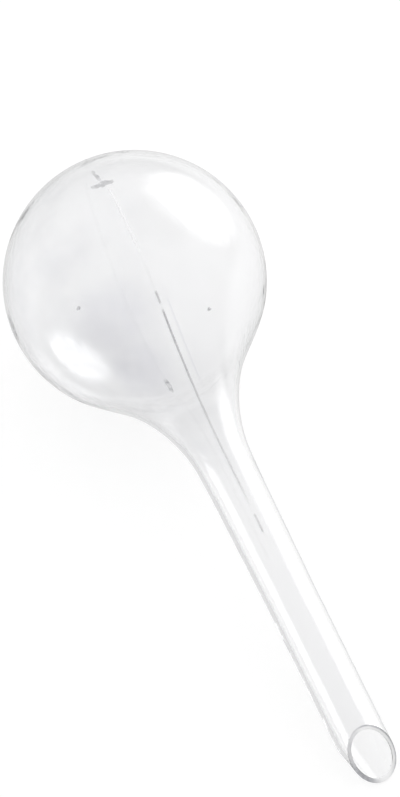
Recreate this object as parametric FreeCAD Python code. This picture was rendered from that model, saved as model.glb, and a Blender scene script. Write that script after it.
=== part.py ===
import FreeCAD, Part
import math
import os

V = FreeCAD.Vector

# A clear blown watering globe, upright as it stands in a pot: crown up, slant-cut mouth down.
# The origin is on the axis at the soil line, where the straight stretch of the stem begins.
# The two mould halves met on the YZ plane. Turns are in degrees about Z, from -Y towards +X.

# Driving dimensions of the shell, in millimetres
globe_diameter = 80.0
globe_centre_height = 125.0
globe_wall = 0.9
stem_wall = 1.2
shoulder_radius = 67.0
stem_diameter = 15.6
stem_straight_length = 53.0

# Half angle of the slightly conical stretch between the shoulder and the straight stem, in degrees
stem_taper_angle = 0.75

# Below the straight stretch the tube narrows by this half angle, with its side at this turn kept straight
mouth_taper_angle = 6.3
mouth_straight_turn = 105.0

# The slanted mouth: the drop of its middle below the straight stretch, how far its plane leans off
# square, and the turn of its long lip, in degrees
mouth_drop = 7.5
mouth_slant_angle = 40.5
mouth_lip_turn = 184.0

# The raised lines that the two mould halves left, and how far below the globe's centre they run out
seam_width = 1.0
seam_height = 0.4
seam_reach_below_centre = 103.0

# The pinch-off scar beside the crown: a bar about square to the seams, and a thinner tail from the
# bar's middle towards the front
scar_offset = 5.7
scar_offset_turn = 122.0
scar_bar_length = 7.2
scar_bar_width = 1.5
scar_bar_height = 0.9
scar_bar_turn = -2.5
scar_tail_length = 9.6
scar_tail_width = 1.1
scar_tail_height = 0.6
scar_tail_turn = -12.4

# Two small round pips that the mould's vents left on the rear of the globe, by turn and by latitude
pip_diameter = 1.3
pip_height = 0.35
left_pip_turn = -154.6
left_pip_latitude = 28.9
right_pip_turn = 146.3
right_pip_latitude = 2.6

# Cutting shapes run past what they cut by this much
overrun = 2.0

globe_radius = globe_diameter / 2
stem_radius = stem_diameter / 2
crown_height = globe_centre_height + globe_radius
globe_centre = V(0, 0, globe_centre_height)
taper = math.radians(stem_taper_angle)
origin = V(0, 0, 0)
up = V(0, 0, 1)
down = V(0, 0, -1)


def below_centre(radius, drop):
    """A point of the half section, by its radius and its drop below the globe's centre."""
    return V(radius, 0, globe_centre_height - drop)


def section(globe_inset, stem_inset):
    """Key points of the half section, this far inside the outer skin at the globe and at the stem."""
    ball = globe_radius - globe_inset
    blend = shoulder_radius + stem_inset
    to_cone = stem_radius * math.cos(taper) + globe_centre_height * math.sin(taper) - stem_inset
    along = math.sqrt((ball + blend) ** 2 - (to_cone + blend) ** 2)
    blend_drop = math.sin(taper) * (to_cone + blend) + math.cos(taper) * along
    blend_radius = math.cos(taper) * (to_cone + blend) - math.sin(taper) * along
    to_ball = math.atan2(-blend_radius, -blend_drop)
    to_stem = math.atan2(-math.cos(taper), -math.sin(taper))

    def on_blend(angle):
        return below_centre(blend_radius + blend * math.sin(angle), blend_drop + blend * math.cos(angle))

    ball_end = math.atan2(blend_radius, blend_drop)
    side = (math.pi + ball_end) / 2
    return {
        "crown": below_centre(0, -ball),
        "globe_side": below_centre(ball * math.sin(side), ball * math.cos(side)),
        "globe_end": on_blend(to_ball),
        "blend_middle": on_blend((to_ball + to_stem) / 2),
        "blend_end": on_blend(to_stem),
        "straight_top": V(stem_radius - stem_inset, 0, 0),
        "straight_foot": V(stem_radius - stem_inset, 0, -stem_straight_length),
    }


outer = section(0, 0)
inner = section(globe_wall, stem_wall)


def line(start, end):
    return Part.LineSegment(start, end).toShape()


def arc(start, middle, end):
    return Part.Arc(start, middle, end).toShape()


def face_of(edges):
    return Part.Face(Part.Wire(edges))


def turned(edges, start_turn, sweep):
    """A solid made by turning a closed half section about the axis, from one turn through a sweep."""
    face = face_of(edges)
    face.rotate(origin, up, start_turn - 90)
    return face.revolve(origin, up, sweep)


def globe_half(start_turn):
    """One mould half of the globe's shell, from the crown to the shoulder."""
    return turned([
        arc(outer["crown"], outer["globe_side"], outer["globe_end"]),
        line(outer["globe_end"], inner["globe_end"]),
        arc(inner["globe_end"], inner["globe_side"], inner["crown"]),
        line(inner["crown"], outer["crown"]),
    ], start_turn, 180)


def shoulder():
    """The flare between the globe and the stem."""
    return turned([
        arc(outer["globe_end"], outer["blend_middle"], outer["blend_end"]),
        line(outer["blend_end"], inner["blend_end"]),
        arc(inner["blend_end"], inner["blend_middle"], inner["globe_end"]),
        line(inner["globe_end"], outer["globe_end"]),
    ], 0, 360)


def stem_stretch(top, foot):
    """A tube between two key points of the section."""
    return turned([
        line(outer[top], outer[foot]),
        line(outer[foot], inner[foot]),
        line(inner[foot], inner[top]),
        line(inner[top], outer[top]),
    ], 0, 360)


def narrowing(radius, start, end):
    """A solid cone below the straight stretch, from a drop to a drop, with one side kept straight."""
    turn = math.radians(mouth_straight_turn)
    rings = []
    for drop in (start, end):
        shrink = drop * math.tan(math.radians(mouth_taper_angle))
        centre = V(shrink * math.sin(turn), -shrink * math.cos(turn), -stem_straight_length - drop)
        rings.append(Part.Wire(Part.makeCircle(radius - shrink, centre, up)))
    return Part.makeLoft(rings, True, True)


def stem_mouth():
    """The open end of the stem, narrowed and cut on a slant, with its long lip on one side."""
    rise = stem_radius * math.tan(math.radians(mouth_slant_angle))
    end = mouth_drop + rise + overrun
    tube = narrowing(stem_radius, 0, end)
    bore = narrowing(stem_radius - stem_wall, -overrun, end + overrun)
    size = (end + stem_diameter) * 2
    waste = Part.makeBox(size, size, size, V(-size / 2, -size / 2, -size))
    waste.rotate(origin, V(1, 0, 0), -mouth_slant_angle)
    waste.rotate(origin, up, mouth_lip_turn - 180)
    waste.translate(V(0, 0, -stem_straight_length - mouth_drop))
    return tube.cut(bore).cut(waste)


def skin_edges(height):
    """The half section of a skin of this height laid over the globe, shoulder and upper stem."""
    crest = section(-height, -height)
    return [
        arc(crest["crown"], crest["globe_side"], crest["globe_end"]),
        arc(crest["globe_end"], crest["blend_middle"], crest["blend_end"]),
        line(crest["blend_end"], crest["straight_top"]),
        line(crest["straight_top"], outer["straight_top"]),
        line(outer["straight_top"], outer["blend_end"]),
        arc(outer["blend_end"], outer["blend_middle"], outer["globe_end"]),
        arc(outer["globe_end"], outer["globe_side"], outer["crown"]),
        line(outer["crown"], crest["crown"]),
    ]


def raised(cutter, height):
    """What a cutter takes out of a skin of this height."""
    skin = turned(skin_edges(height), 0, 360)
    return skin.common(cutter).Solids[0]


def seam(side):
    """The raised line where the mould halves met, at the front with side -1, or the rear with side 1."""
    face = face_of(skin_edges(seam_height))
    face.rotate(origin, up, 90 * side)
    face.translate(V(-seam_width / 2, 0, 0))
    foot = globe_centre_height - seam_reach_below_centre
    half_width = seam_width / 2 + overrun
    depth = globe_radius + overrun
    kept = Part.makeBox(half_width * 2, depth * 2, crown_height + overrun - foot, V(-half_width, -depth, foot))
    return face.extrude(V(seam_width, 0, 0)).common(kept)


def scar_cutter(width, length, start, turn):
    """A block that cuts a piece of the scar, by its size across and along, its start and its turn."""
    reach = scar_offset + scar_bar_width + scar_tail_length
    foot = globe_centre_height + math.sqrt(globe_radius ** 2 - reach ** 2)
    cutter = Part.makeBox(width, length, crown_height + overrun - foot, V(-width / 2, start, foot))
    cutter.rotate(origin, up, turn)
    offset = math.radians(scar_offset_turn)
    cutter.translate(V(scar_offset * math.sin(offset), -scar_offset * math.cos(offset), 0))
    return cutter


def bar_cutter():
    return scar_cutter(scar_bar_length, scar_bar_width, -scar_bar_width / 2, scar_bar_turn)


def scar_bar():
    """The pinch-off bar beside the crown, about square to the seams."""
    return raised(bar_cutter(), scar_bar_height)


def scar_tail():
    """The thin tail from the middle of the bar towards the front."""
    tail = scar_cutter(scar_tail_width, scar_tail_length, -scar_tail_length, scar_tail_turn)
    return raised(tail.cut(bar_cutter()), scar_tail_height)


def pip(turn, latitude):
    """A small round pip, square to the globe's centre at this turn and latitude."""
    angle = math.radians(turn)
    level = math.radians(latitude)
    outward = V(math.sin(angle) * math.cos(level), -math.cos(angle) * math.cos(level), math.sin(level))
    cutter = Part.makeCylinder(pip_diameter / 2, globe_radius + overrun, globe_centre, outward)
    return raised(cutter, pip_height)


def build():
    return {
        "globe_right_half": globe_half(0),
        "globe_left_half": globe_half(180),
        "shoulder": shoulder(),
        "stem_upper": stem_stretch("blend_end", "straight_top"),
        "stem_lower": stem_stretch("straight_top", "straight_foot"),
        "stem_mouth": stem_mouth(),
        "seam_front": seam(-1),
        "seam_rear": seam(1),
        "pinch_scar_bar": scar_bar(),
        "pinch_scar_tail": scar_tail(),
        "pip_left": pip(left_pip_turn, left_pip_latitude),
        "pip_right": pip(right_pip_turn, right_pip_latitude),
    }


os.makedirs("parts", exist_ok=True)
for name, shape in build().items():
    shape.exportStep(os.path.join("parts", name + ".step"))
    print(name, len(shape.Solids), "solid,", round(shape.Volume, 2), "cubic mm, valid:", shape.isValid())
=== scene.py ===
import math

import bmesh
import bpy
from bpy.props import FloatProperty, FloatVectorProperty, IntProperty, PointerProperty
from mathutils import Matrix, Vector, noise


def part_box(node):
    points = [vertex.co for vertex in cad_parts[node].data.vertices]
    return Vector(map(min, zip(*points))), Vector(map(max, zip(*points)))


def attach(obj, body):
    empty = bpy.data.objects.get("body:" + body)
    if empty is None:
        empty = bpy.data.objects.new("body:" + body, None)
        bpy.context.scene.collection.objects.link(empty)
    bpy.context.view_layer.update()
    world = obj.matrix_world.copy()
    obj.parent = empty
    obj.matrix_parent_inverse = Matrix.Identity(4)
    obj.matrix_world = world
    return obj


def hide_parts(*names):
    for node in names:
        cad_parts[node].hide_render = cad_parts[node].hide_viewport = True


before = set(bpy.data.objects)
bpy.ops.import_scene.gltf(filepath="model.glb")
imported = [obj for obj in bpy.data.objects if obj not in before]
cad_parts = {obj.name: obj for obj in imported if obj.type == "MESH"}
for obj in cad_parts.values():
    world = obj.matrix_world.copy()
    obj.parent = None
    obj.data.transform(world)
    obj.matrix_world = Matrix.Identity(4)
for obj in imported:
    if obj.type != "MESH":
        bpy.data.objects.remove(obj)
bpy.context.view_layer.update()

# A clear blown watering globe, upright as it stands in a pot: crown up, slant-cut mouth down.
# The origin is on the axis at the soil line. Turns are about Z, from -Y towards +X.

# The CAD model's box, before anything is added
globe_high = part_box("globe_right_half")[1]
stem_low, stem_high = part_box("stem_lower")

bl_info = {
    "name": "Clear watering globe",
    "version": (1, 0, 0),
    "blender": (4, 5, 0),
    "location": "3D View > Sidebar > Watering globe",
    "description": "Builds a clear blown watering globe on its moulded frame, with a plain studio round it",
    "category": "Add Mesh",
}

MM = 0.001
SHELL_NODES = ("globe_right_half", "globe_left_half", "shoulder", "stem_upper", "stem_lower", "stem_mouth")

# Edges that turn by more than this are shaded as hard ones
HARD_EDGE = math.radians(50)

# A light path through the hollow clear globe crosses many faces
ALL_BOUNCES = 48
CLEAR_BOUNCES = 32


# Sizes and colours that a user may change

def length(name, description, default):
    return FloatProperty(name=name, description=description, default=default, unit="LENGTH", precision=5)


def turn(name, description, degrees):
    return FloatProperty(name=name, description=description, default=math.radians(degrees), subtype="ANGLE")


def share(name, description, default):
    return FloatProperty(name=name, description=description, default=default, min=0.0, max=1.0)


def level(name, description, default):
    return FloatProperty(name=name, description=description, default=default, min=0.0)


def tint(name, description, default):
    return FloatVectorProperty(name=name, description=description, default=default, size=3, subtype="COLOR",
                               min=0.0, max=1.0)


def place(name, description, *millimetres):
    return FloatVectorProperty(name=name, description=description, size=3, subtype="TRANSLATION",
                               default=[step * MM for step in millimetres], precision=5)


def stretch(name, description, *millimetres):
    """Four places: where something fades in, is full, is still full and has faded out."""
    return FloatVectorProperty(name=name, description=description, size=4, unit="LENGTH",
                               default=[step * MM for step in millimetres], precision=5)


class ShellSizes(bpy.types.PropertyGroup):
    globe_radius: length("Globe radius", "Outer radius of the globe", globe_high.x)
    crown_height: length("Crown height", "Height of the crown over the soil line", globe_high.z)
    globe_wall: length("Globe wall", "Thickness of the globe's wall", 0.9 * MM)
    stem_wall: length("Stem wall", "Thickness of the stem's wall", 1.2 * MM)
    shoulder_radius: length("Shoulder radius", "Radius of the hollow curve between globe and stem", 67 * MM)
    stem_radius: length("Stem radius", "Outer radius of the straight stretch", stem_high.x)
    straight_length: length("Straight stretch", "Length of the straight stretch of the stem", -stem_low.z)
    stem_taper: turn("Stem taper", "Half angle of the upper stem", 0.75)
    mouth_taper: turn("Mouth taper", "Half angle by which the tube narrows to its mouth", 6.3)
    mouth_straight_turn: turn("Straight side", "Turn of the side that stays straight at the mouth", 105)
    mouth_drop: length("Mouth drop", "Drop of the slant's middle below the straight stretch", 7.5 * MM)
    mouth_slant: turn("Mouth slant", "How far the mouth's plane leans off square", 40.5)
    mouth_lip_turn: turn("Lip turn", "Turn of the mouth's long lip", 184)
    lip_setback: length("Lip setback", "How far the mouth's inner rim lies inside its outer rim", 0.2 * MM)
    lip_rounding: length("Lip rounding", "Rounding of the mouth's edges", 0.22 * MM)
    inner_waves: length("Inner waves", "How far the blown inner wall wanders", 0.09 * MM)
    outer_waves: length("Outer waves", "How far the outer skin sinks in", 0.05 * MM)
    still_length: length("Still length", "Length over which the waves fade out above the mouth", 20 * MM)
    globe_easing: length("Globe easing", "Reach of the eased change from globe to shoulder", 15 * MM)
    stem_easing: length("Stem easing", "Reach of the eased change from shoulder to stem", 12 * MM)
    mouth_easing: length("Mouth easing", "Reach of the eased change from stem to mouth", 3 * MM)
    columns: IntProperty(name="Columns", description="Steps round the axis", default=160, min=16, max=512)


class MarkSizes(bpy.types.PropertyGroup):
    seam_width: length("Seam width", "Width of the raised seam lines", 1.0 * MM)
    seam_height: length("Seam height", "Height of the seam lines over the wall", 0.4 * MM)
    seam_foot: length("Seam foot", "Height over the soil line at which the seams run out", 22 * MM)
    crown_gap: turn("Crown gap", "How far off the crown each seam begins", 0.2)
    scar_offset: length("Scar offset", "How far the middle of the scar's bar lies from the axis", 5.7 * MM)
    scar_turn: turn("Scar turn", "Turn of the scar's middle about the axis", 122)
    bar_length: length("Bar length", "Length of the scar's bar", 7.0 * MM)
    bar_width: length("Bar width", "Width of the scar's bar", 1.3 * MM)
    bar_height: length("Bar height", "Height of the scar's bar over the wall", 0.85 * MM)
    bar_bow: length("Bar bow", "How far the ends of the scar's bar bend to the front", 0.5 * MM)
    bar_turn: turn("Bar turn", "Turn of the bar off square to the seams", -2.5)
    tail_length: length("Tail length", "Length of the scar's tail", 9.4 * MM)
    tail_width: length("Tail width", "Width of the scar's tail", 1.0 * MM)
    tail_height: length("Tail height", "Height of the scar's tail over the wall", 0.55 * MM)
    tail_gap: length("Tail gap", "Gap between the scar's bar and its tail", 0.05 * MM)
    tail_turn: turn("Tail turn", "Turn of the tail off the front", -12.4)
    pip_radius: length("Pip radius", "Radius of the vent pips", 0.65 * MM)
    pip_height: length("Pip height", "Height of the vent pips over the wall", 0.34 * MM)
    left_pip_turn: turn("Left pip turn", "Turn of the left pip about the axis", -154.6)
    left_pip_rise: turn("Left pip latitude", "Latitude of the left pip on the globe", 28.9)
    right_pip_turn: turn("Right pip turn", "Turn of the right pip about the axis", 146.3)
    right_pip_rise: turn("Right pip latitude", "Latitude of the right pip on the globe", 2.6)
    sink: length("Sink", "How far a mark's underside sits in the wall", 0.12 * MM)


class PlasticLook(bpy.types.PropertyGroup):
    clear: tint("Clear plastic", "Colour of the clear wall", (0.961, 0.962, 0.966))
    # This colour also paints the globe's right side clearer, as painted light from the softbox.
    clearest: tint("Clearest plastic", "Colour of the wall down the stem", (0.977, 0.977, 0.980))
    clouded: tint("Clouded plastic", "Colour of the wall where it is slightly clouded", (0.918, 0.920, 0.929))
    # This colour paints the dark reflection of the dim room low on the globe, and the faint line by the seam.
    dusky_and_reflection: tint("Dusky plastic", "Colour of the wall's smoky patch low on the globe", (0.86, 0.86, 0.885))
    depth_tint: tint("Depth tint", "Colour that the plastic takes on over a long path", (0.70, 0.71, 0.73))
    depth_density: level("Depth density", "How fast the depth tint builds up, per metre", 20.0)
    # The smoky patch placed by these five is a painted reflection of the dim room in front of the globe.
    upper_reflection: place("Upper smoke", "Middle of the smoky patch", -14.9, -25.0, 97.6)
    lower_reflection: place("Lower smoke", "Middle of the smoky patch's tail", -13.0, -17.0, 86.0)
    reflection_core: length("Smoke core", "Radius of the smoky patch's even core", 4 * MM)
    upper_reflection_edge: length("Upper smoke edge", "Width of the smoky patch's soft edge", 13 * MM)
    lower_reflection_edge: length("Lower smoke edge", "Width of the soft edge of its tail", 10 * MM)
    second_line: stretch("Second line", "Where a faint line runs beside the front seam", 70, 80, 96.5, 98)
    second_line_aside: length("Line aside", "How far the faint line lies right of the seam", 2.6 * MM)
    second_line_share: share("Line share", "How dusky the faint line is", 0.45)
    ripples: share("Ripples", "Strength of the small ripples in the skins", 0.09)
    cut_face: tint("Cut face", "Colour of the mouth's frosted cut face", (0.96, 0.96, 0.965))
    # Painted shade: this colour darkens the cut face on its left, away from the softbox, and in a band along
    # the outer rim of its right side.
    cut_shade_and_rim: tint("Bruised rim", "Colour of the cut face where the knife bruised it", (0.42, 0.42, 0.45))
    mark_dark: tint("Dark mark", "Colour of a mark where it turns the light away", (0.20, 0.20, 0.22))
    mark_pale: tint("Pale mark", "Colour of a mark where it catches the light", (0.96, 0.96, 0.97))
    ior: FloatProperty(name="Refraction", description="Refractive index of the plastic", default=1.5, min=1.0)


class MarkVeils(bpy.types.PropertyGroup):
    pale_seam: stretch("Pale seam", "Heights at which the front seam is pale", 109, 116, 133, 135)
    dashed_seam: stretch("Dashed seam", "Heights at which it is dark in dashes", 94, 96, 100.5, 102.5)
    dark_seam: stretch("Dark seam", "Heights at which it is one dark line", 29, 40, 94, 95.5)
    last_dash: stretch("Last dash", "Heights at which it shows once more", 20.5, 21.2, 27.2, 27.8)
    beaded_seam: stretch("Beaded seam", "Heights at which the rear seam has beads", 103, 104.2, 110.8, 112)
    bar_middle: stretch("Bar middle", "Where along X the scar's bar is strongest", 1.6, 3.0, 7.0, 8.6)
    clear_front: share("Clear front seam", "Strength of the front seam where it hardly shows", 0.01)
    pale_front: share("Pale front seam", "Strength of the front seam's pale stretch", 0.45)
    dashes: share("Dashes", "Strength of the front seam's dashes", 0.26)
    low_line: share("Low line", "Strength of the front seam's dark line at its foot", 0.16)
    line_gain: share("Line gain", "How much stronger the dark line is at its top", 0.19)
    last: share("Last", "Strength of the front seam's last dash", 0.20)
    clear_rear: share("Clear rear seam", "Strength of the rear seam where it hardly shows", 0.012)
    beads: share("Beads", "Strength of the rear seam's beads", 0.38)
    bar_ends: share("Bar ends", "Strength of the scar's bar at its ends", 0.13)
    bar_gain: share("Bar gain", "How much stronger the bar's middle is", 0.15)
    tail: share("Tail", "Strength of the scar's tail", 0.27)
    pips: share("Pips", "Strength of the pips", 0.36)


class StudioLook(bpy.types.PropertyGroup):
    lens: FloatProperty(name="Lens", description="Focal length in millimetres", default=600.0, min=1.0)
    view_height: length("View height", "Height of the frame at the globe", 240.8 * MM)
    azimuth: turn("Azimuth", "Turn of the camera about the axis", -8.2)
    lean: turn("Lean", "How far the stem leans towards the camera", 32)
    roll: turn("Roll", "How far the axis leans in the picture", 26.4)
    aside: length("Aside", "How far the frame's middle lies right of the globe's", 19.70 * MM)
    below: length("Below", "How far the frame's middle lies below the globe's", 35.20 * MM)
    table_size: length("Table size", "Half width of the table", 900 * MM)
    table_gap: length("Table gap", "Gap between the globe and the table", 0.05 * MM)
    table_turn: turn("Table turn", "Turn of the direction out of the table's top", 10.6164)
    table_rise: turn("Table rise", "Rise of the direction out of the table's top", 9.8978)
    table_glow: level("Table glow", "Share of the table's white that is its own", 0.75)
    table_chalk: share("Table chalk", "Share of the light that the table scatters", 0.29)
    softbox_turn: turn("Softbox turn", "Turn of the softbox, from up to right in the picture", 36.8699)
    softbox_size: length("Softbox size", "Side of the square softbox", 260 * MM)
    softbox_reach: length("Softbox distance", "Distance of the softbox from the globe's middle", 280 * MM)
    softbox_level: level("Softbox level", "Brightness of the softbox", 1.4)
    plain_light: level("Plain light", "Level of the light all round", 0.88)
    room: level("Room", "Level of the room in mirror images", 0.56)
    table_image: level("Table image", "Level of the table in mirror images", 0.78)
    bright_side: level("Bright side", "How much brighter the table is by the softbox", 0.28)
    softbox_image: level("Softbox image", "Level of the softbox in mirror images", 3.0)
    softbox_back: share("Softbox back", "How far the softbox's image lies behind it", 0.11)
    deep_share: level("Deep share", "Strength of the softbox in the rear wall, against the front", 1.1)
    gap_depth: share("Gap depth", "How dark the gap at the table's near edge is", 0.85)


# The shader's own language

class Wire:
    """A socket in a material, on which sums can be written."""

    def __init__(self, shader, socket):
        self.shader = shader
        self.socket = socket

    def maths(self, operation, *others):
        return self.shader.node("ShaderNodeMath", {"operation": operation}, dict(enumerate((self,) + others)))

    def reflected(self, operation, other):
        return self.shader.node("ShaderNodeMath", {"operation": operation}, {0: other, 1: self})

    def __add__(self, other):
        return self.maths("ADD", other)

    __radd__ = __add__

    def __sub__(self, other):
        return self.maths("SUBTRACT", other)

    def __rsub__(self, other):
        return self.reflected("SUBTRACT", other)

    def __mul__(self, other):
        return self.maths("MULTIPLY", other)

    __rmul__ = __mul__

    def __truediv__(self, other):
        return self.maths("DIVIDE", other)

    def __rtruediv__(self, other):
        return self.reflected("DIVIDE", other)

    def __lt__(self, other):
        return self.maths("LESS_THAN", other)

    def __gt__(self, other):
        return self.maths("GREATER_THAN", other)

    def ramp(self, low, high):
        """From 0 at low to 1 at high, smoothly."""
        return self.shader.node("ShaderNodeMapRange", {"interpolation_type": "SMOOTHSTEP"},
                                {"Value": self, "From Min": low, "From Max": high})

    def between(self, low, full_low, full_high, high):
        """1 between the two full places, falling off smoothly to 0 at the outer ones."""
        return self.ramp(low, full_low) * self.ramp(high, full_high)

    def beside(self, name):
        """Another output of the same node."""
        return Wire(self.shader, self.socket.node.outputs[name])


class Shader:
    """The node tree of one material or of the world, filled by one method."""

    def __init__(self, owner):
        owner.use_nodes = True
        self.tree = owner.node_tree
        self.tree.nodes.clear()

    def node(self, kind, settings=None, inputs=None, output=0):
        made = self.tree.nodes.new(kind)
        for key, value in (settings or {}).items():
            setattr(made, key, value)
        for key, value in (inputs or {}).items():
            socket = made.inputs[key]
            if isinstance(value, Wire):
                self.tree.links.new(value.socket, socket)
            else:
                socket.default_value = value
        return Wire(self, made.outputs[output]) if made.outputs else None

    def clouds(self, where, scale, detail=2.0, squeeze=(1, 1, 1)):
        """Smooth noise, of about this many lumps to each unit of the coordinates."""
        spread = self.node("ShaderNodeMapping", inputs={"Vector": where, "Scale": squeeze})
        return self.node("ShaderNodeTexNoise", inputs={"Vector": spread, "Scale": scale, "Detail": detail})

    def towards(self, facing, way):
        """How far a direction points along another: the cosine of the angle between them."""
        return self.node("ShaderNodeVectorMath", {"operation": "DOT_PRODUCT"},
                         {0: facing, 1: tuple(way)}, "Value")

    def near(self, where, middle, radius, soft):
        """1 within a radius of a place, falling off smoothly to 0 over a soft edge."""
        away = self.node("ShaderNodeVectorMath", {"operation": "DISTANCE"},
                         {0: where, 1: tuple(middle)}, "Value")
        return away.ramp(radius + soft, radius)

    def blend(self, factor, first, second):
        """A colour between two others. A Mix node's colours are its sockets 6 and 7, and its output 2."""
        return self.node("ShaderNodeMix", {"data_type": "RGBA"}, {0: factor, 6: first, 7: second}, 2)

    def mix(self, factor, first, second):
        return self.node("ShaderNodeMixShader", inputs={0: factor, 1: first, 2: second})


def rgba(colour):
    return (*colour, 1.0)


def grey(brightness):
    return (brightness, brightness, brightness, 1.0)


def new_material(name):
    """A material, its shader, and the object coordinates of the shaded point, as one wire and as three."""
    material = bpy.data.materials.new(name)
    shader = Shader(material)
    where = shader.node("ShaderNodeTexCoord", output="Object")
    aside = shader.node("ShaderNodeSeparateXYZ", inputs={"Vector": where})
    return material, shader, where, (aside, aside.beside("Y"), aside.beside("Z"))


# Shaping

def direction(around, rise=0.0):
    """The direction at a turn about the axis and a rise over the level."""
    flat = math.cos(rise)
    return Vector((math.sin(around) * flat, -math.cos(around) * flat, math.sin(rise)))


def globe_centre(sizes):
    return Vector((0, 0, sizes.crown_height - sizes.globe_radius))


def arc_on(bm, start, centre, angle, steps):
    """Carries a line of edges on from a vertex, round a centre in the XZ plane."""
    made = bmesh.ops.spin(bm, geom=[start], cent=centre, axis=(0, 1, 0), angle=angle, steps=steps,
                          use_merge=False, use_duplicate=False)
    return next(item for item in made["geom_last"] if isinstance(item, bmesh.types.BMVert))


def run_on(bm, start, end, cuts):
    """Carries a line of edges on from a vertex, straight to a point, in equal parts."""
    for step in range(1, cuts + 1):
        made = bmesh.ops.extrude_vert_indiv(bm, verts=[start])
        reached = start.co.lerp(end, 1 / (cuts + 1 - step))
        start = made["verts"][0]
        start.co = reached
    return start


def section_plan(sizes, globe_inset, stem_inset):
    """The half section of one skin: centres of its two arcs, their angles, and where the stem begins."""
    centre = globe_centre(sizes)
    ball = sizes.globe_radius - globe_inset
    bend = sizes.shoulder_radius + stem_inset
    taper = sizes.stem_taper
    to_cone = sizes.stem_radius * math.cos(taper) + centre.z * math.sin(taper) - stem_inset
    along = math.sqrt((ball + bend) ** 2 - (to_cone + bend) ** 2)
    drop = math.sin(taper) * (to_cone + bend) + math.cos(taper) * along
    aside = math.cos(taper) * (to_cone + bend) - math.sin(taper) * along
    bend_centre = Vector((aside, 0, centre.z - drop))
    lean = math.atan2(aside, drop)
    shoulder_end = bend_centre + Vector((-math.cos(taper), 0, math.sin(taper))) * bend
    return centre, bend_centre, math.pi - lean, math.pi / 2 - taper - lean, shoulder_end


def section_line(bm, sizes, globe_inset, stem_inset):
    """Draws the half section of one skin, from the crown down past the mouth."""
    centre, bend_centre, to_bend, to_stem, shoulder_end = section_plan(sizes, globe_inset, stem_inset)
    top = centre + Vector((0, 0, sizes.globe_radius - globe_inset))
    radius = sizes.stem_radius - stem_inset
    depth = sizes.mouth_drop + sizes.stem_radius
    vert = bmesh.ops.create_vert(bm, co=top)["vert"][0]
    vert = arc_on(bm, vert, centre, to_bend, steps=72)
    vert = arc_on(bm, vert, bend_centre, -to_stem, steps=30)
    vert = run_on(bm, vert, Vector((radius, 0, 0)), cuts=10)
    vert = run_on(bm, vert, Vector((radius, 0, -sizes.straight_length)), cuts=10)
    run_on(bm, vert, vert.co - Vector((depth * math.tan(sizes.mouth_taper), 0, depth)), cuts=22)
    globe_end = bend_centre.lerp(centre, sizes.shoulder_radius / (bend_centre - centre).length)
    ease(bm, globe_end.z, sizes.globe_easing, times=40)
    ease(bm, shoulder_end.z, sizes.stem_easing, times=20)
    ease(bm, -sizes.straight_length, sizes.mouth_easing, times=6)


def ease(bm, height, reach, times):
    """Eases the half section's change of curve at a height, as blown plastic takes it."""
    line = [vert for vert in bm.verts if len(vert.link_edges) == 2 and not vert.link_faces]
    for step in range(times):
        shrinking = reach * (1 - math.sqrt(step / times))
        near = [vert for vert in line if abs(vert.co.z - height) < shrinking]
        bmesh.ops.smooth_vert(bm, verts=near, factor=0.5, use_axis_x=True, use_axis_y=True, use_axis_z=True)


def skin(bm, sizes, globe_inset, stem_inset, setback, waves):
    """One skin of the moulding, turned about the axis and cut open on a slant at its foot."""
    before = set(bm.verts)
    section_line(bm, sizes, globe_inset, stem_inset)
    edges = [edge for edge in bm.edges if edge.verts[0] not in before]
    verts = [vert for vert in bm.verts if vert not in before]
    bmesh.ops.spin(bm, geom=verts + edges, cent=(0, 0, 0), axis=(0, 0, 1), angle=math.tau,
                   steps=sizes.columns, use_merge=True, use_duplicate=False)
    made = [vert for vert in bm.verts if vert not in before]
    bmesh.ops.remove_doubles(bm, verts=made, dist=0.001 * MM)
    made = [vert for vert in bm.verts if vert not in before]
    wander(made, sizes, **waves)
    keep_side_straight(made, sizes)
    normal = slant_normal(sizes)
    foot = Vector((0, 0, -sizes.straight_length - sizes.mouth_drop)) - normal * setback
    faces = {face for vert in made for face in vert.link_faces}
    edges = {edge for vert in made for edge in vert.link_edges}
    bmesh.ops.bisect_plane(bm, geom=made + list(edges) + list(faces), plane_co=foot, plane_no=-normal,
                           clear_inner=True)


def keep_side_straight(verts, sizes):
    """Shifts the narrowing end sideways, so that one side of the tube stays straight."""
    shift = direction(sizes.mouth_straight_turn) * math.tan(sizes.mouth_taper)
    for vert in verts:
        below = -sizes.straight_length - vert.co.z
        if below > 0:
            vert.co += shift * below


def wander(verts, sizes, amount, scale, sideways, seed):
    """Lets a blown skin wander by a smooth, fixed noise, less towards the mouth."""
    centre = globe_centre(sizes)
    for vert in verts:
        away = vert.co - centre if vert.co.z > centre.z else Vector((vert.co.x, vert.co.y, 0))
        if away.length == 0:
            continue
        bump = noise.noise(vert.co * scale + Vector(seed))
        hold = min(1.0, max(0.0, (vert.co.z + sizes.straight_length) / sizes.still_length))
        vert.co += away.normalized() * amount * hold * (bump * 0.5 - sideways)


def finish_mesh(name, bm, smooth=True):
    mesh = bpy.data.meshes.new(name)
    bm.to_mesh(mesh)
    bm.free()
    mesh.polygons.foreach_set("use_smooth", [smooth] * len(mesh.polygons))
    mesh.set_sharp_from_angle(angle=HARD_EDGE)
    mesh.update()
    piece = bpy.data.objects.new(name, mesh)
    bpy.context.scene.collection.objects.link(piece)
    return piece


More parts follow.
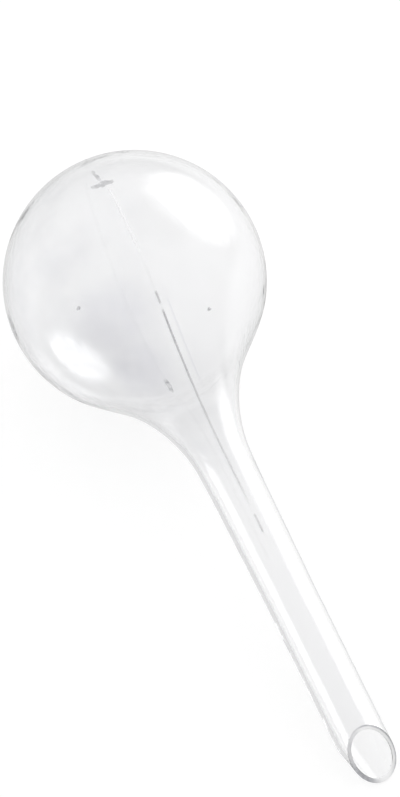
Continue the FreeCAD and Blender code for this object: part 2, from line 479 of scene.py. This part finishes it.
def shell_mesh(sizes):
    """The whole moulded wall as one closed shape: outer skin, inner skin and the slanted lip between them."""
    bm = bmesh.new()
    outer_waves = {"amount": sizes.outer_waves, "scale": 55.0, "sideways": 0.5, "seed": (3.1, 8.7, 1.9)}
    inner_waves = {"amount": sizes.inner_waves, "scale": 90.0, "sideways": 0.0, "seed": (7.3, 2.2, 5.4)}
    skin(bm, sizes, 0, 0, 0, outer_waves)
    skin(bm, sizes, sizes.globe_wall, sizes.stem_wall, sizes.lip_setback, inner_waves)
    rims = [edge for edge in bm.edges if edge.is_boundary]
    lip = set(bmesh.ops.bridge_loops(bm, edges=rims)["faces"])
    for face in lip:
        face.material_index = 1
    bmesh.ops.recalc_face_normals(bm, faces=bm.faces[:])
    edges = [edge for edge in bm.edges if len(lip.intersection(edge.link_faces)) == 1]
    bmesh.ops.bevel(bm, geom=edges, offset=sizes.lip_rounding, segments=3, profile=0.5, affect="EDGES",
                    material=-1)
    return bm


def slant_normal(sizes):
    """The direction out of the slanted mouth, away from the tube."""
    return -direction(sizes.mouth_lip_turn, math.pi / 2 - sizes.mouth_slant)


def sweep_on(bm, edges, centre, angle, steps):
    """Carries a closed profile on round a centre in the YZ plane."""
    made = bmesh.ops.spin(bm, geom=edges, cent=centre, axis=(1, 0, 0), angle=angle, steps=steps,
                          use_merge=False, use_duplicate=False)
    return [item for item in made["geom_last"] if isinstance(item, bmesh.types.BMEdge)]


def draw_on(bm, edges, run, steps):
    """Carries a closed profile on along a straight run, in equal steps."""
    for _ in range(steps):
        made = bmesh.ops.extrude_edge_only(bm, edges=edges)["geom"]
        edges = [item for item in made if isinstance(item, bmesh.types.BMEdge) and
                 all(vert in made for vert in item.verts)]
        bmesh.ops.translate(bm, verts=ends_of(edges), vec=run / steps)
    return edges


def ends_of(edges):
    return list({vert for edge in edges for vert in edge.verts})


def close_and_face_out(bm):
    """Closes a swept piece's open ends and turns its faces outwards."""
    bmesh.ops.holes_fill(bm, edges=[edge for edge in bm.edges if edge.is_boundary], sides=0)
    bmesh.ops.recalc_face_normals(bm, faces=bm.faces[:])
    return bm


def seam_mesh(shell, marks, side):
    """A raised seam line from the crown to the upper stem, in front with side -1 or behind with side 1."""
    bm = bmesh.new()
    centre, bend, to_bend, to_stem, shoulder_end = section_plan(shell, 0, 0)
    half = marks.seam_width / 2
    bmesh.ops.create_circle(bm, cap_ends=False, segments=10, radius=half)
    bmesh.ops.scale(bm, verts=bm.verts[:], vec=(1, marks.seam_height / half, 1))
    for vert in bm.verts:
        vert.co.y = max(vert.co.y, -marks.sink)
    bmesh.ops.rotate(bm, verts=bm.verts[:], matrix=Matrix.Rotation(math.pi / 2, 3, "X"))
    bmesh.ops.translate(bm, verts=bm.verts[:], vec=(0, 0, shell.crown_height))
    bmesh.ops.rotate(bm, verts=bm.verts[:], cent=centre, matrix=Matrix.Rotation(marks.crown_gap, 3, "X"))
    edges = sweep_on(bm, bm.edges[:], centre, to_bend - marks.crown_gap, steps=96)
    edges = sweep_on(bm, edges, Vector((0, -bend.x, bend.z)), -to_stem, steps=40)
    drop = shoulder_end.z - marks.seam_foot
    edges = draw_on(bm, edges, Vector((0, drop * math.tan(shell.stem_taper), -drop)), steps=8)
    run_out(bm, edges, marks)
    if side > 0:
        bmesh.ops.rotate(bm, verts=bm.verts[:], cent=(0, 0, 0), matrix=Matrix.Rotation(math.pi, 3, "Z"))
    return close_and_face_out(bm)


def run_out(bm, edges, marks):
    """Lets a seam run out at its foot: narrower, and down into the wall."""
    narrowed = 0.3
    edges = draw_on(bm, edges, Vector((0, 0, -2 * marks.seam_width)), steps=1)
    bmesh.ops.scale(bm, verts=ends_of(edges), vec=(narrowed, 1, 1))
    bmesh.ops.translate(bm, verts=ends_of(edges), vec=(0, marks.seam_height + marks.sink, 0))


def lay_on_globe(verts, shell):
    """Lays what was shaped on the flat, heights and all, over the top of the globe."""
    centre = globe_centre(shell)
    for vert in verts:
        x, y, height = vert.co
        foot = Vector((x, y, math.sqrt(shell.globe_radius ** 2 - x * x - y * y)))
        vert.co = centre + foot * (1 + height / shell.globe_radius)


def ridge(bm, size, height, sink, cuts):
    """A rounded ridge on the flat, along X, its underside sunk below zero."""
    long_side, wide_side = size
    rounding = min(wide_side, height) * 0.42
    shortest_long_edge = long_side * 0.4
    made = bmesh.ops.create_cube(bm, size=1.0)["verts"]
    bmesh.ops.scale(bm, verts=made, vec=(long_side, wide_side, height + sink))
    bmesh.ops.translate(bm, verts=made, vec=(0, 0, (height - sink) / 2))
    top = [edge for edge in bm.edges if all(vert.co.z > 0 for vert in edge.verts)]
    corners = [edge for edge in bm.edges if abs(edge.verts[0].co.z - edge.verts[1].co.z) > height / 2]
    bmesh.ops.bevel(bm, geom=top + corners, offset=rounding, segments=4, profile=0.5, affect="EDGES",
                    material=-1)
    along = [edge for edge in bm.edges if
             abs(edge.verts[0].co.x - edge.verts[1].co.x) > shortest_long_edge]
    bmesh.ops.subdivide_edges(bm, edges=along, cuts=cuts, use_grid_fill=True)


def scar_bar_mesh(shell, marks):
    """The pinch-off bar beside the crown, its ends lower and bent a little to the front."""
    bm = bmesh.new()
    mean_bow, end_drop = 0.33, 0.25
    ridge(bm, (marks.bar_length, marks.bar_width), marks.bar_height, marks.sink, cuts=12)
    for vert in bm.verts:
        reach = vert.co.x / (marks.bar_length / 2)
        vert.co.y -= marks.bar_bow * (reach * reach - mean_bow)
        vert.co.z *= 1 - end_drop * reach * reach if vert.co.z > 0 else 1
    place_scar(bm, shell, marks, marks.bar_turn)
    return bm


def scar_tail_mesh(shell, marks):
    """The thin tail from the bar towards the front, with one swelling between two waists."""
    bm = bmesh.new()
    half_waves, wide_share, high_share = 3, 0.18, 0.22
    run = marks.tail_length - marks.bar_width / 2
    ridge(bm, (run, marks.tail_width), marks.tail_height, marks.sink, cuts=16)
    for vert in bm.verts:
        beat = math.cos(vert.co.x / run * half_waves * math.pi)
        vert.co.y *= 1 + wide_share * beat
        vert.co.z *= 1 + high_share * (beat - 1) if vert.co.z > 0 else 1
    bmesh.ops.rotate(bm, verts=bm.verts[:], matrix=Matrix.Rotation(math.pi / 2, 3, "Z"))
    bmesh.ops.translate(bm, verts=bm.verts[:], vec=(0, -run / 2 - marks.bar_width / 2 - marks.tail_gap, 0))
    place_scar(bm, shell, marks, marks.tail_turn)
    return bm


def place_scar(bm, shell, marks, angle):
    """Turns a piece of the scar, moves it to the scar's middle and lays it on the globe."""
    bmesh.ops.rotate(bm, verts=bm.verts[:], matrix=Matrix.Rotation(angle, 3, "Z"))
    bmesh.ops.translate(bm, verts=bm.verts[:], vec=direction(marks.scar_turn) * marks.scar_offset)
    lay_on_globe(bm.verts, shell)
    bmesh.ops.recalc_face_normals(bm, faces=bm.faces[:])


def pip_mesh(shell, marks, around, rise):
    """A small round vent pip on the rear of the globe, domed, with its rim sunk in the wall."""
    bm = bmesh.new()
    squash = (marks.pip_height + marks.sink) / marks.pip_radius
    facing = direction(around, rise).to_track_quat("Z", "Y").to_matrix()
    bmesh.ops.create_uvsphere(bm, u_segments=24, v_segments=14, radius=marks.pip_radius)
    bmesh.ops.scale(bm, verts=bm.verts[:], vec=(1, 1, squash))
    bmesh.ops.bisect_plane(bm, geom=bm.verts[:] + bm.edges[:] + bm.faces[:], plane_co=(0, 0, 0),
                           plane_no=(0, 0, 1), clear_inner=True)
    bmesh.ops.translate(bm, verts=bm.verts[:], vec=(0, 0, shell.globe_radius - marks.sink))
    bmesh.ops.rotate(bm, verts=bm.verts[:], matrix=facing)
    bmesh.ops.translate(bm, verts=bm.verts[:], vec=globe_centre(shell))
    return close_and_face_out(bm)


# The moulded wall

class GLOBE_OT_moulded_shell(bpy.types.Operator):
    """Builds the clear moulded wall of the globe, shoulder and stem"""

    bl_idname = "globe.moulded_shell"
    bl_label = "Moulded shell"

    def execute(self, context):
        piece = finish_mesh("moulded_shell", shell_mesh(context.scene.globe_shell))
        look = context.scene.globe_look
        piece.data.materials.append(clear_plastic(look))
        piece.data.materials.append(frosted_cut(look, context.scene.globe_shell))
        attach(piece, "root")
        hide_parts(*SHELL_NODES)
        return {"FINISHED"}


def clear_plastic(look):
    """Clear blown plastic: faintly clouded, slightly wavy, and darker over a long path through the wall. Its
    right side is painted clearer, a painted light from the softbox, and a dark patch low on its front left is
    a painted reflection of the dim room.
    """
    material, shader, where, (aside, front, height) = new_material("clear_plastic")
    haze = shader.clouds(where, 60.0, detail=5.0).ramp(0.40, 0.72)
    colour = shader.blend(haze, rgba(look.clear), rgba(look.clouded))
    down_stem = height.ramp(70 * MM, 40 * MM)
    # Clearer down the stem, and painted clearer towards the right: painted light from the softbox side.
    painted_light_right = aside.ramp(-6 * MM, 18 * MM) * 0.9
    colour = shader.blend(down_stem.maths("MAXIMUM", painted_light_right), colour, rgba(look.clearest))
    # Painted reflection: a dark patch of the dim room mirrored low on the globe's front left.
    colour = shader.blend(painted_reflection(look, shader, where), colour, rgba(look.dusky_and_reflection))
    colour = shader.blend(second_line(look, aside, front, height), colour, rgba(look.dusky_and_reflection))
    waves = shader.clouds(where, 120.0, detail=3.0)
    ripple = shader.node("ShaderNodeBump", inputs={
        "Strength": look.ripples, "Distance": 1 * MM, "Height": waves})
    body = shader.node("ShaderNodeBsdfPrincipled", inputs={
        "Base Color": colour, "Roughness": 0.03, "IOR": look.ior, "Transmission Weight": 1.0,
        "Normal": ripple})
    shadow = shader.node("ShaderNodeLightPath", output="Is Shadow Ray")
    passing = shader.node("ShaderNodeBsdfTransparent", inputs={"Color": grey(0.93)})
    depth = shader.node("ShaderNodeVolumeAbsorption", inputs={
        "Color": rgba(look.depth_tint), "Density": look.depth_density})
    surface = shader.mix(shadow, body, passing)
    shader.node("ShaderNodeOutputMaterial", inputs={"Surface": surface, "Volume": depth})
    return material


def painted_reflection(look, shader, where):
    """A painted reflection of the dim room: a dark patch low on the globe's front left, with its tail towards
    the shoulder.
    """
    upper = shader.near(where, look.upper_reflection, look.reflection_core, look.upper_reflection_edge)
    lower = shader.near(where, look.lower_reflection, look.reflection_core, look.lower_reflection_edge)
    return upper.maths("MAXIMUM", lower) * shader.clouds(where, 90.0).ramp(0.10, 0.55)


def second_line(look, aside, front, height):
    """A faint line in the front wall, beside the seam."""
    off_middle = (aside - look.second_line_aside).maths("ABSOLUTE")
    line = off_middle.ramp(0.5 * MM, 0.2 * MM) * (front < 0.0)
    return line * height.between(*look.second_line) * look.second_line_share


def frosted_cut(look, sizes):
    """The mouth's cut face: the same plastic, frosted by the knife, with painted shade on its left, away from
    the softbox, and a darker band along the outer rim of its right side.
    """
    material, shader, where, (aside, front, height) = new_material("frosted_cut")
    grain = shader.clouds(where, 900.0)
    narrowing = (-sizes.straight_length - height) * math.tan(sizes.mouth_taper)
    middle = direction(sizes.mouth_straight_turn)
    across = (aside - narrowing * middle.x).maths("POWER", 2.0)
    along = (front - narrowing * middle.y).maths("POWER", 2.0)
    bore = sizes.stem_radius - sizes.stem_wall
    outward = ((across + along).maths("POWER", 0.5) + narrowing - bore) / sizes.stem_wall
    over_middle = height + (sizes.straight_length + sizes.mouth_drop)
    # Painted shade on the left, away from the softbox, most towards the lip; on the right, darker along the
    # outer rim.
    left = aside.ramp(1.5 * MM, -3.5 * MM)
    left_shade = 0.45 + over_middle.ramp(1.5 * MM, -2.5 * MM) * 0.55
    right_rim_dark = outward.ramp(0.50, 0.95) * over_middle.ramp(-5.0 * MM, -3.0 * MM)
    shade_and_rim_dark = left * left_shade + (1.0 - left) * right_rim_dark
    shade_and_rim_dark = shade_and_rim_dark * (0.75 + grain.ramp(0.35, 0.65) * 0.25)
    colour = shader.blend(shade_and_rim_dark, rgba(look.cut_face), rgba(look.cut_shade_and_rim))
    scratches = shader.node("ShaderNodeBump", inputs={"Strength": 0.3, "Distance": 0.2 * MM, "Height": grain})
    body = shader.node("ShaderNodeBsdfPrincipled", inputs={
        "Base Color": colour, "Roughness": 0.45, "IOR": look.ior, "Transmission Weight": 0.2,
        "Normal": scratches})
    shader.node("ShaderNodeOutputMaterial", inputs={"Surface": body})
    return material


# The raised marks

def mark_plastic(look, made, paleness, veil):
    """Finishes a mark's material: a veil over the wall, pale or dark, stronger or weaker by place. The pale
    is a painted highlight and the dark a painted shade, for how the clear ridge bends the light.
    """
    material, shader, where, _ = made
    grain = shader.clouds(where, 420.0)
    # Painted highlight where the mark is pale, painted shade where it is dark.
    colour = shader.blend(paleness, rgba(look.mark_dark), rgba(look.mark_pale))
    alpha = veil * (0.80 + grain.ramp(0.35, 0.65) * 0.20)
    body = shader.node("ShaderNodeBsdfPrincipled", inputs={
        "Base Color": colour, "Roughness": 0.50, "IOR": look.ior, "Alpha": alpha})
    shader.node("ShaderNodeOutputMaterial", inputs={"Surface": body})
    return material


def front_seam_plastic(scene):
    """Pale on the globe, then dark: in dashes, in a line down the shoulder and in a last short dash."""
    sizes, marks, veils = scene.globe_shell, scene.globe_marks, scene.globe_veils
    made = new_material("front_seam_plastic")
    _, shader, where, (aside, _, height) = made
    over_underside, fading = 0.01 * MM, 0.05 * MM
    under_radius = sizes.globe_radius - marks.sink + over_underside
    underside = shader.near(where, globe_centre(sizes), under_radius, fading)
    off_middle = aside.maths("ABSOLUTE")
    pale = height.between(*veils.pale_seam) * (1.0 - underside) * off_middle.ramp(0.60 * MM, 0.20 * MM)
    dashes = height.between(*veils.dashed_seam) * shader.clouds(where, 330.0).ramp(0.45, 0.52)
    gain = height.ramp(60 * MM, 92 * MM) * veils.line_gain
    line = height.between(*veils.dark_seam) * (veils.low_line + gain)
    last = height.between(*veils.last_dash) * veils.last
    dark = (dashes * veils.dashes + line + last) * off_middle.ramp(0.42 * MM, 0.18 * MM)
    paleness = height.ramp(103 * MM, 108 * MM)
    return mark_plastic(scene.globe_look, made, paleness, pale * veils.pale_front + dark + veils.clear_front)


def rear_seam_plastic(scene):
    """Nearly clear, but for a few beads low on the globe."""
    veils = scene.globe_veils
    made = new_material("rear_seam_plastic")
    _, shader, where, (_, _, height) = made
    beads = height.between(*veils.beaded_seam) * shader.clouds(where, 300.0).ramp(0.44, 0.52)
    return mark_plastic(scene.globe_look, made, beaded(shader, where), beads * veils.beads + veils.clear_rear)


def beaded(shader, where):
    """Pale and dark beads in turn."""
    return shader.clouds(where, 380.0).ramp(0.48, 0.56)


def bar_plastic(scene):
    """Dark, stronger along the bar's middle than at its ends."""
    veils = scene.globe_veils
    made = new_material("bar_plastic")
    aside = made[3][0]
    veil = aside.between(*veils.bar_middle) * veils.bar_gain + veils.bar_ends
    return mark_plastic(scene.globe_look, made, 0.0, veil)


def tail_plastic(scene):
    """Dark towards the front, pale near the bar."""
    made = new_material("tail_plastic")
    front = made[3][1]
    return mark_plastic(scene.globe_look, made, front.ramp(-1.2 * MM, 0.8 * MM), scene.globe_veils.tail)


def pip_plastic(scene):
    """Pale and dark beads in one small pip."""
    made = new_material("pip_plastic")
    _, shader, where, _ = made
    return mark_plastic(scene.globe_look, made, beaded(shader, where), scene.globe_veils.pips)


def add_mark(name, bm, node, material):
    piece = finish_mesh(name, bm)
    piece.data.materials.append(material)
    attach(piece, "root")
    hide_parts(node)


class GLOBE_OT_seams(bpy.types.Operator):
    """Builds the two raised moulding seams"""

    bl_idname = "globe.seams"
    bl_label = "Moulding seams"

    def execute(self, context):
        scene = context.scene
        shell, marks = scene.globe_shell, scene.globe_marks
        add_mark("front_seam_line", seam_mesh(shell, marks, -1), "seam_front", front_seam_plastic(scene))
        add_mark("rear_seam_line", seam_mesh(shell, marks, 1), "seam_rear", rear_seam_plastic(scene))
        return {"FINISHED"}


class GLOBE_OT_scar_and_pips(bpy.types.Operator):
    """Builds the pinch-off scar by the crown and the two vent pips"""

    bl_idname = "globe.scar_and_pips"
    bl_label = "Scar and pips"

    def execute(self, context):
        scene = context.scene
        shell, marks = scene.globe_shell, scene.globe_marks
        add_mark("scar_bar", scar_bar_mesh(shell, marks), "pinch_scar_bar", bar_plastic(scene))
        add_mark("scar_tail", scar_tail_mesh(shell, marks), "pinch_scar_tail", tail_plastic(scene))
        pips = pip_plastic(scene)
        left = pip_mesh(shell, marks, marks.left_pip_turn, marks.left_pip_rise)
        right = pip_mesh(shell, marks, marks.right_pip_turn, marks.right_pip_rise)
        add_mark("left_pip", left, "pip_left", pips)
        add_mark("right_pip", right, "pip_right", pips)
        return {"FINISHED"}


# The studio

class GLOBE_OT_studio(bpy.types.Operator):
    """Builds the table that the globe lies on, the lamp, the world and the camera"""

    bl_idname = "globe.studio"
    bl_label = "Studio"

    def execute(self, context):
        scene = context.scene
        look = scene.globe_studio
        centre = globe_centre(scene.globe_shell)
        back, right, up = view_axes(look)
        normal = direction(look.table_turn, look.table_rise)
        lamp_side = right * math.sin(look.softbox_turn) + up * math.cos(look.softbox_turn)
        aim_camera(scene, look, centre, back, right, up)
        lay_table(look, centre - normal * (scene.globe_shell.globe_radius + look.table_gap), normal)
        hang_softbox(scene, look, centre, lamp_side)
        light_world(scene, look, back, right, up, lamp_side, normal)
        scene.view_settings.view_transform = "Standard"
        scene.cycles.max_bounces = ALL_BOUNCES
        scene.cycles.transmission_bounces = scene.cycles.glossy_bounces = CLEAR_BOUNCES
        return {"FINISHED"}


def view_axes(look):
    """The camera's own axes in the globe's frame: towards the camera, to its right and up."""
    back = direction(look.azimuth, -look.lean)
    axis = Vector((0, 0, 1))
    plain_up = (axis - back * back.dot(axis)).normalized()
    plain_right = plain_up.cross(back)
    up = plain_up * math.cos(look.roll) + plain_right * math.sin(look.roll)
    right = plain_right * math.cos(look.roll) - plain_up * math.sin(look.roll)
    return back, right, up


def aim_camera(scene, look, centre, back, right, up):
    lens = bpy.data.cameras.new("camera")
    lens.lens = look.lens
    lens.sensor_width = 36.0
    distance = look.lens * look.view_height / lens.sensor_width
    lens.clip_start, lens.clip_end = 100 * MM, distance * 3
    camera = bpy.data.objects.new("camera", lens)
    scene.collection.objects.link(camera)
    stand = Matrix((right, up, back)).transposed().to_4x4()
    stand.translation = centre + right * look.aside - up * look.below + back * distance
    camera.matrix_world = stand
    scene.camera = camera


def lay_table(look, middle, normal):
    """A plain white table under the lying globe, not there for what sees it from behind or mirrored."""
    bm = bmesh.new()
    bmesh.ops.create_grid(bm, x_segments=1, y_segments=1, size=look.table_size)
    bmesh.ops.rotate(bm, verts=bm.verts[:], matrix=normal.to_track_quat("Z", "Y").to_matrix())
    bmesh.ops.translate(bm, verts=bm.verts[:], vec=middle)
    table = finish_mesh("table", bm, smooth=False)
    material = bpy.data.materials.new("white_table")
    shader = Shader(material)
    glow = shader.node("ShaderNodeEmission", inputs={"Color": grey(1.0), "Strength": look.table_glow})
    chalk = shader.node("ShaderNodeBsdfDiffuse", inputs={"Color": grey(look.table_chalk)})
    top = shader.node("ShaderNodeAddShader", inputs={0: glow, 1: chalk})
    behind = shader.node("ShaderNodeNewGeometry", output="Backfacing")
    mirrored = shader.node("ShaderNodeLightPath", output="Glossy Depth") > 0.5
    away = shader.node("ShaderNodeBsdfTransparent")
    surface = shader.mix(behind.maths("MAXIMUM", mirrored), top, away)
    shader.node("ShaderNodeOutputMaterial", inputs={"Surface": surface})
    table.data.materials.append(material)


def hang_softbox(scene, look, centre, lamp_side):
    """A large softbox at the upper right. Nothing sees or mirrors it: the world has its image."""
    lamp = bpy.data.lights.new("softbox", "AREA")
    lamp.shape = "RECTANGLE"
    lamp.size = lamp.size_y = look.softbox_size
    lamp.energy = look.softbox_level * math.pi * look.softbox_size ** 2
    holder = bpy.data.objects.new("softbox", lamp)
    scene.collection.objects.link(holder)
    holder.rotation_mode = "QUATERNION"
    holder.rotation_quaternion = lamp_side.to_track_quat("Z", "Y")
    holder.location = centre + lamp_side * look.softbox_reach
    holder.visible_camera = holder.visible_glossy = holder.visible_transmission = False


def light_world(scene, look, back, right, up, lamp_side, table_normal):
    """White to the eye, straight on or through the clear plastic, and plain light on what is dull.
    What mirrors it sees the studio instead."""
    world = bpy.data.worlds.new("studio")
    scene.world = world
    shader = Shader(world)
    seen = shader.node("ShaderNodeLightPath", output="Is Camera Ray")
    straight = seen + seen.beside("Is Transmission Ray") * (seen.beside("Glossy Depth") < 0.5)
    deep = seen.beside("Transmission Depth") > 2.5
    facing = shader.node("ShaderNodeTexCoord", output="Generated")
    image = mirrored_room(look, shader, facing, back, right, up, lamp_side, table_normal)
    image = image + mirrored_softbox(look, shader, facing, deep, lamp_side - back * look.softbox_back)
    brightness = look.plain_light + seen.beside("Is Glossy Ray") * (image - look.plain_light)
    dome = shader.node("ShaderNodeBackground", inputs={"Color": grey(1.0), "Strength": brightness})
    white = shader.node("ShaderNodeBackground", inputs={"Color": grey(1.0), "Strength": 1.0})
    shader.node("ShaderNodeOutputWorld", inputs={"Surface": shader.mix(straight, dome, white)})


def mirrored_room(look, shader, facing, back, right, up, lamp_side, table_normal):
    """The white table, brighter by the softbox, a dim room, and the dark gap at the table's near edge."""
    table = shader.towards(facing, -table_normal).ramp(-0.10, 0.12)
    by_softbox = shader.towards(facing, lamp_side).ramp(0.10, 0.65)
    table_level = look.table_image + by_softbox * look.bright_side
    near_edge = (back * 0.47 - up * 0.85 - right * 0.30).normalized()
    gap = shader.towards(facing, near_edge).ramp(0.84, 0.97)
    return (look.room + table * (table_level - look.room)) * (1.0 - gap * look.gap_depth)


def mirrored_softbox(look, shader, facing, deep, way):
    """The softbox, streaked by the wavy wall, and a smaller spot where the rear wall mirrors it."""
    spot = shader.towards(facing, way.normalized()).ramp(0.81, 0.97)
    streaks = shader.clouds(facing, 5.0, detail=3.0, squeeze=(1.0, 2.5, 1.0)).ramp(0.25, 0.60)
    small_spot = spot.maths("POWER", 5.0) * look.deep_share
    return spot * (0.45 + streaks * 0.55) * (1.0 - deep * (1.0 - small_spot)) * look.softbox_image


# The add-on

class GLOBE_PT_panel(bpy.types.Panel):
    """Lists the pieces of the watering globe"""

    bl_label = "Watering globe"
    bl_idname = "GLOBE_PT_panel"
    bl_space_type = "VIEW_3D"
    bl_region_type = "UI"
    bl_category = "Watering globe"

    def draw(self, context):
        for name in GROUPS:
            group = getattr(context.scene, name)
            box = self.layout.box()
            for value in group.__annotations__:
                box.prop(group, value)
        for operator in OPERATORS:
            self.layout.operator(operator.bl_idname)


OPERATORS = (GLOBE_OT_moulded_shell, GLOBE_OT_seams, GLOBE_OT_scar_and_pips, GLOBE_OT_studio)
GROUPS = {
    "globe_shell": ShellSizes,
    "globe_marks": MarkSizes,
    "globe_look": PlasticLook,
    "globe_veils": MarkVeils,
    "globe_studio": StudioLook,
}


def register():
    for name, group in GROUPS.items():
        bpy.utils.register_class(group)
        setattr(bpy.types.Scene, name, PointerProperty(type=group))
    for operator in OPERATORS:
        bpy.utils.register_class(operator)
    bpy.utils.register_class(GLOBE_PT_panel)


def unregister():
    bpy.utils.unregister_class(GLOBE_PT_panel)
    for operator in reversed(OPERATORS):
        bpy.utils.unregister_class(operator)
    for name, group in GROUPS.items():
        delattr(bpy.types.Scene, name)
        bpy.utils.unregister_class(group)


def main():
    register()
    bpy.ops.globe.moulded_shell()
    bpy.ops.globe.seams()
    bpy.ops.globe.scar_and_pips()
    bpy.ops.globe.studio()


if __name__ == "__main__":
    main()
